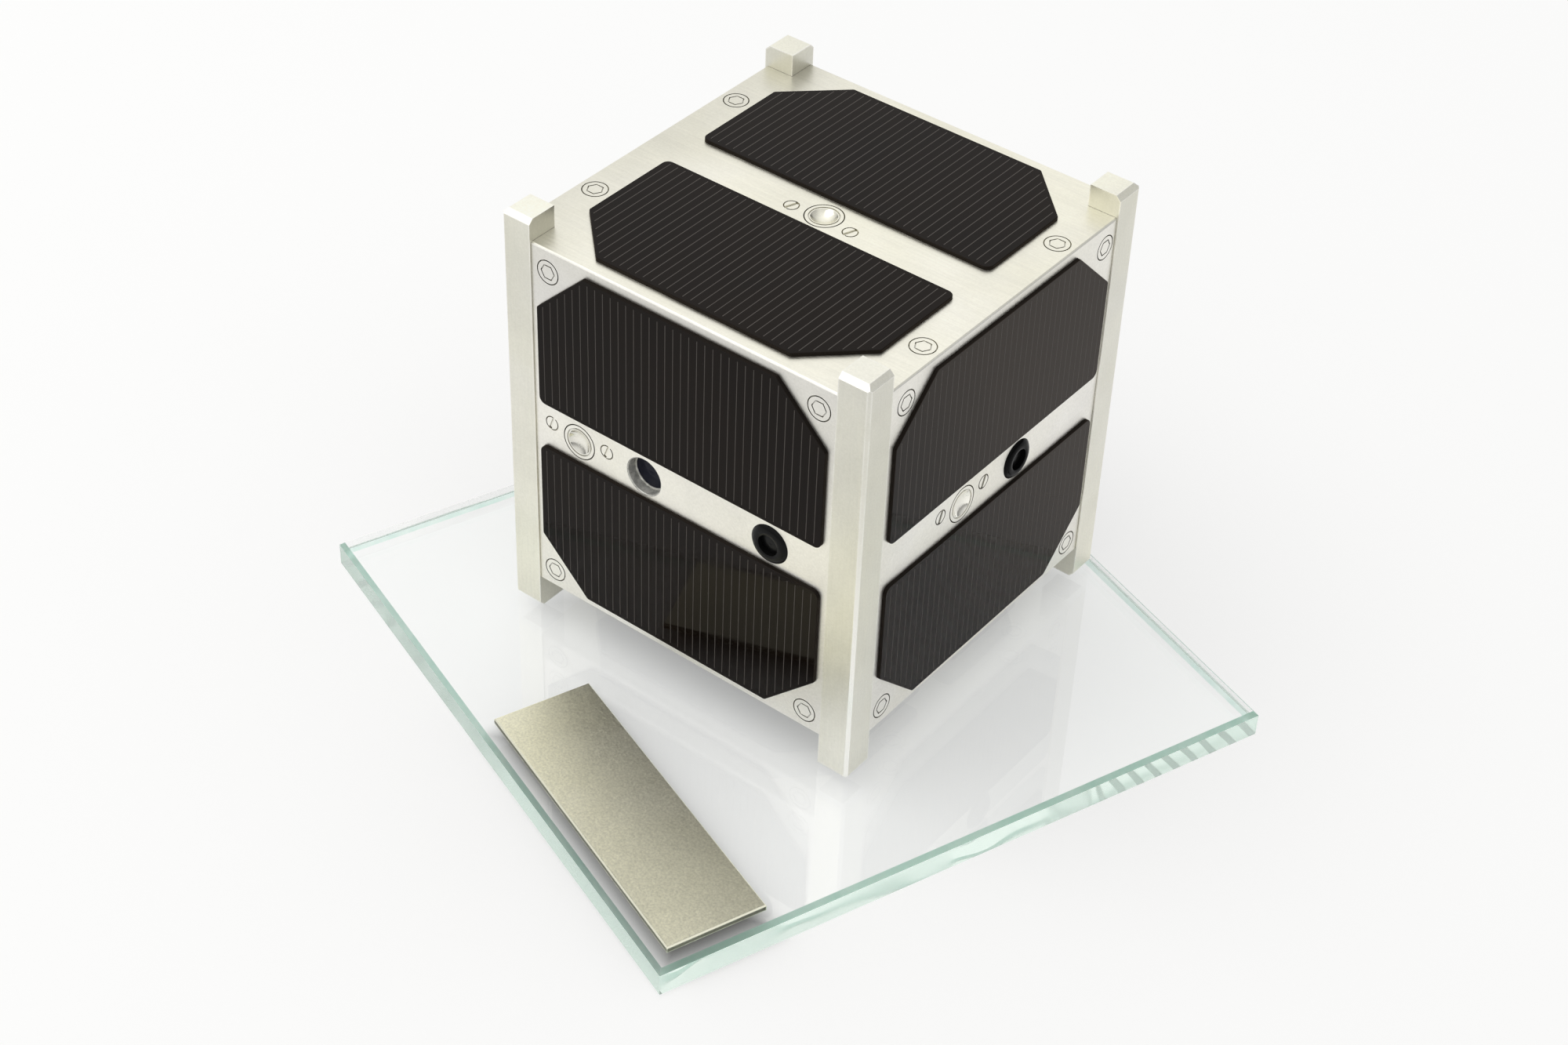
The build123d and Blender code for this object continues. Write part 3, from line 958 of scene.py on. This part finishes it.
def lay_lines(name, material):
    """Lays the lines of one cell and returns how many they are."""
    normal, across, up = cell_axes(name)
    rim, height = skin_edges(name, normal, across, up)
    left = min(a[0] for a, b in rim) + LINE_MARGIN
    right = max(b[0] for a, b in rim) - LINE_MARGIN
    count = int((right - left) / LINE_PITCH) + 1
    first = (left + right - (count - 1) * LINE_PITCH) / 2
    bm = bmesh.new()
    for i in range(count):
        u = first + i * LINE_PITCH
        low, high = span_at(rim, u)
        add_bar(bm, lambda a, b, h: across * a + up * b + normal * (height + h), u,
                low + LINE_MARGIN, high - LINE_MARGIN)
    finished_piece(bm, name + "_lines", material)
    return count


line_counts = [lay_lines(name, line_finish) for name in cell_names]
print("lines on each cell:", line_counts)

# %% [markdown]
# ## Rings, port glass and camera lens
# The two ports are black rings with a small dark glass inside. One ring is satin, the other polished. The
# camera is a coated lens deep in a round well: its coating swallows almost all of the light and leaves a dark
# navy blue. All are non-metals over a very dark base, so they share a recipe, and differ in colour,
# roughness, grain and index.

# %% Dress rings, port glass and lens
SPECKLES = dict(Patches_Per_Metre=300.0, Grains_Per_Metre=6000.0, Grain_Share=0.6)
SPECKLE_DARK = 0.6
SPECKLE_PALE = 1.4
SPECKLE_ROUGHNESS = 0.4
DARK_TRIM = (
    # (material, colour, roughness, strength of the grain, index, nodes)
    ("port_ring_satin_black", (0.006, 0.006, 0.006), 0.25, 0.3, 1.2, ["front_port_ring"]),
    ("port_ring_polished_black", (0.003, 0.003, 0.003), 0.08, 0.05, 1.13, ["right_port_ring"]),
    ("port_glass_black", (0.004, 0.004, 0.004), 0.3, 0.8, 1.25, ["front_port_glass", "right_port_glass"]),
    ("camera_lens_navy", (0.008, 0.009, 0.020), 0.10, 0.1, 1.2, ["front_camera_lens"]),
)


def dark_gloss(name, colour, roughness, grain, index):
    material, tree, shader = start_material(name, IOR=index)
    clouds = place_group(tree, clouds_group, **SPECKLES)
    dark, pale = [(*(v * share for v in colour), 1) for share in (SPECKLE_DARK, SPECKLE_PALE)]
    fill(tree, shader, Base_Color=mixed(tree, "speckle", clouds, dark, pale),
         Roughness=scaled(tree, clouds, "speckle to roughness", roughness, roughness * SPECKLE_ROUGHNESS))
    raise_relief(tree, clouds, shader, grain, GRAIN_DEPTH)
    return material


for name, colour, roughness, grain, index, pieces in DARK_TRIM:
    dress(dark_gloss(name, colour, roughness, grain, index), *pieces)

# %% [markdown]
# ### The camera barrel
# The well of the camera is lined with a thin blasted barrel, and a lip at its foot holds the lens. It is a
# turned part, so its half section is drawn once as radius and depth pairs, and repeated round the axis of the
# lens. The place and the radius come from the solids of the lens and the plate.

# %% Draw half of the barrel's section
BARREL_WALL = 0.22 * MM
BARREL_LIP = 0.55 * MM
LIP_SLOPE = 0.7
RIM_DROP = 0.05 * MM
CHAMFER = 5 * RIM_DROP
LIP_GAP = 0.2 * MM
lens_low, lens_high = (Vector(corner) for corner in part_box("front_camera_lens"))
lens_middle = (lens_low + lens_high) / 2
lens_radius = (lens_high.x - lens_low.x) / 2
skin_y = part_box("front_plate")[0][1]
lens_depth = lens_low.y - skin_y
barrel_section = [
    # (radius, depth) from the rim down the outside, round the lip and up the inside
    (lens_radius, RIM_DROP),
    (lens_radius, lens_depth + LIP_GAP),
    (lens_radius - BARREL_LIP, lens_depth + LIP_GAP),
    (lens_radius - BARREL_LIP, lens_depth + LIP_GAP / 4),
    (lens_radius - BARREL_LIP * LIP_SLOPE, lens_depth - LIP_GAP / 2),
    (lens_radius - BARREL_WALL, lens_depth - LIP_GAP / 2),
    (lens_radius - BARREL_WALL, CHAMFER),
    (lens_radius - BARREL_WALL / 2, RIM_DROP),
]
print("barrel", round(2 * lens_radius / MM, 2), "mm across, lens", round(lens_depth / MM, 2), "mm down")

# %% [markdown]
# ### Turning the barrel
# A Screw modifier could turn the section too, but the few lines below make the same closed ring without one.
# Blasting leaves the barrel mottled, and in the depth of the well it looks half metal, half grey.

# %% Turn the camera barrel
BARREL_STEPS = 96
MOTTLES = dict(Patches_Per_Metre=650.0, Grains_Per_Metre=5000.0, Grain_Share=0.35)
MOTTLE_DARK = (0.30, 0.30, 0.28, 1)
MOTTLE_PALE = (0.95, 0.94, 0.88, 1)
MOTTLE_ROUGHNESS = (0.45, 0.2)  # middle and swing
MOTTLE_RELIEF = 0.5
MOTTLE_DEPTH = 0.05 * MM


def make_barrel_finish():
    material, tree, shader = start_material("camera_barrel_blasted", Metallic=0.5)
    clouds = place_group(tree, clouds_group, **MOTTLES)
    contrast = scaled(tree, clouds, "contrast")
    fill(tree, shader, Base_Color=mixed(tree, "blasted unevenly", contrast, MOTTLE_DARK, MOTTLE_PALE),
         Roughness=scaled(tree, clouds, "grain to roughness", *MOTTLE_ROUGHNESS))
    raise_relief(tree, clouds, shader, MOTTLE_RELIEF, MOTTLE_DEPTH)
    return material


def turn_barrel(material):
    bm = bmesh.new()
    rings = []
    for step in range(BARREL_STEPS):
        angle = 2 * math.pi * step / BARREL_STEPS
        rings.append([bm.verts.new((lens_middle.x + radius * math.cos(angle), skin_y + depth,
                                    lens_middle.z + radius * math.sin(angle)))
                      for radius, depth in barrel_section])
    corners = len(barrel_section)
    for step, ring in enumerate(rings):
        following = rings[(step + 1) % BARREL_STEPS]
        for i in range(corners):
            j = (i + 1) % corners
            bm.faces.new((ring[i], ring[j], following[j], following[i]))
    return finished_piece(bm, "camera_barrel", material)


barrel = turn_barrel(make_barrel_finish())
print("barrel turned in", BARREL_STEPS, "steps,", len(barrel.data.polygons), "faces")

# %% [markdown]
# ## The glass plinth
# The plinth is eight millimetres of clear float glass. The narrow bevels round its two faces are ground, and
# the upright sides are polished, less well than the faces. The left and right sides keep waves, as a bump,
# and are dull in patches. The front and back sides are flatter, but a little dull all over. The plinth is one
# solid, so a group makes a mask for each of these by the way that a surface faces. A bevel is what faces
# neither along one of the plinth's own axes nor straight up or down.

# %% Which faces of the glass are bevels and which are sides
GLASS_SLOPE = dict(Least=0.88, Most=0.92)
FLATTER_SIDES = 0.1
DULL_PATCHES = dict(From_Min=0.42, From_Max=0.58, To_Min=0.1, To_Max=0.8)
GRINDING = dict(Scale=140.0, Detail=3.0, Roughness=0.6)


def make_slopes():
    group, enter, leave = start_group(
        "glass_slopes", [("Waves Per Metre", "Float", 45.0)], ["Bevel", "Side Wave", "Bevel Shade", "Dull"])
    right_left, front_back, top_bottom = [place_group(group, square_group, Axis=axis, **GLASS_SLOPE)
                                          for axis in (*PLINTH_AXES, AXES["z"])]
    side = calculated(group, "MAXIMUM", "one of the four sides", right_left, front_back)
    face = calculated(group, "MAXIMUM", "any of the six faces", side, top_bottom)
    waves = noise_over(group, "polishing waves", Scale=enter["Waves Per Metre"], Detail=0.0, Distortion=0.5)
    calmer = calculated(group, "MULTIPLY_ADD", "flat front and back", front_back, FLATTER_SIDES, right_left)
    patches = ramped(group, waves, "dull patches", **DULL_PATCHES)
    patchy = calculated(group, "MULTIPLY", "left and right", patches, right_left)
    fill(group, leave, Bevel=calculated(group, "SUBTRACT", "none of them", 1.0, face),
         Side_Wave=calculated(group, "MULTIPLY", "waves", waves, calmer),
         Bevel_Shade=noise_over(group, "ground unevenly", **GRINDING),
         Dull=calculated(group, "MAXIMUM", "all of the front and back", front_back, patchy))
    return group


slopes_group = make_slopes()

# %% [markdown]
# ### The glass finish
# Looked through from above the glass is nearly colourless, but light that travels along it turns green from
# traces of iron, which is why cut edges look green. So the colour belongs in the volume: Volume Absorption
# takes more red than green for every millimetre. The ground bevels scatter the light that runs inside the
# glass and show as a green line, so they get a colour and a roughness of their own. Light on its way to the
# table goes straight through by a Light Path mix, because real glass hardly shades what lies under it.

# %% Dress the plinth
GLASS_INDEX = 1.52
GLASS_TINT = (0.68, 0.96, 0.80, 1)
GLASS_DENSITY = 2.5
BEVEL_DARK = (0.52, 0.83, 0.72, 1)
BEVEL_PALE = (0.80, 1.0, 0.92, 1)
BEVEL_ROUGHNESS = 0.45
SIDE_ROUGHNESS = 0.17
SIDE_WAVE_DEPTH = 0.75 * MM


def make_glass():
    material, tree, shader = start_material("plinth_clear_glass", IOR=GLASS_INDEX, Transmission_Weight=1.0)
    slopes = add(tree, "ShaderNodeGroup", slopes_group.name, node_tree=slopes_group).outputs
    grinding = scaled(tree, slopes["Bevel Shade"], "uneven grinding")
    green = mixed(tree, "ground bevel", grinding, BEVEL_DARK, BEVEL_PALE)
    ground = calculated(tree, "MULTIPLY", "ground bevels", slopes["Bevel"], BEVEL_ROUGHNESS)
    fill(tree, shader,
         Base_Color=mixed(tree, "green on the bevels only", slopes["Bevel"], (1, 1, 1, 1), green),
         Roughness=calculated(tree, "MULTIPLY_ADD", "dull sides", slopes["Dull"], SIDE_ROUGHNESS, ground))
    raise_relief(tree, slopes["Side Wave"], shader, 1.0, SIDE_WAVE_DEPTH)

    rays = add(tree, "ShaderNodeLightPath").outputs
    spread = calculated(tree, "MAXIMUM", "light on its way to the table",
                        rays["Is Shadow Ray"], rays["Is Diffuse Ray"])
    through = add(tree, "ShaderNodeBsdfTransparent", Color=(1, 1, 1, 1)).outputs[0]
    mix = add(tree, "ShaderNodeMixShader", "", spread, shader.outputs[0], through)
    depth = add(tree, "ShaderNodeVolumeAbsorption", Color=GLASS_TINT, Density=GLASS_DENSITY)
    fill(tree, tree.nodes["Material Output"], Surface=mix.outputs[0], Volume=depth.outputs[0])
    return material


dress(make_glass(), "glass_plinth")
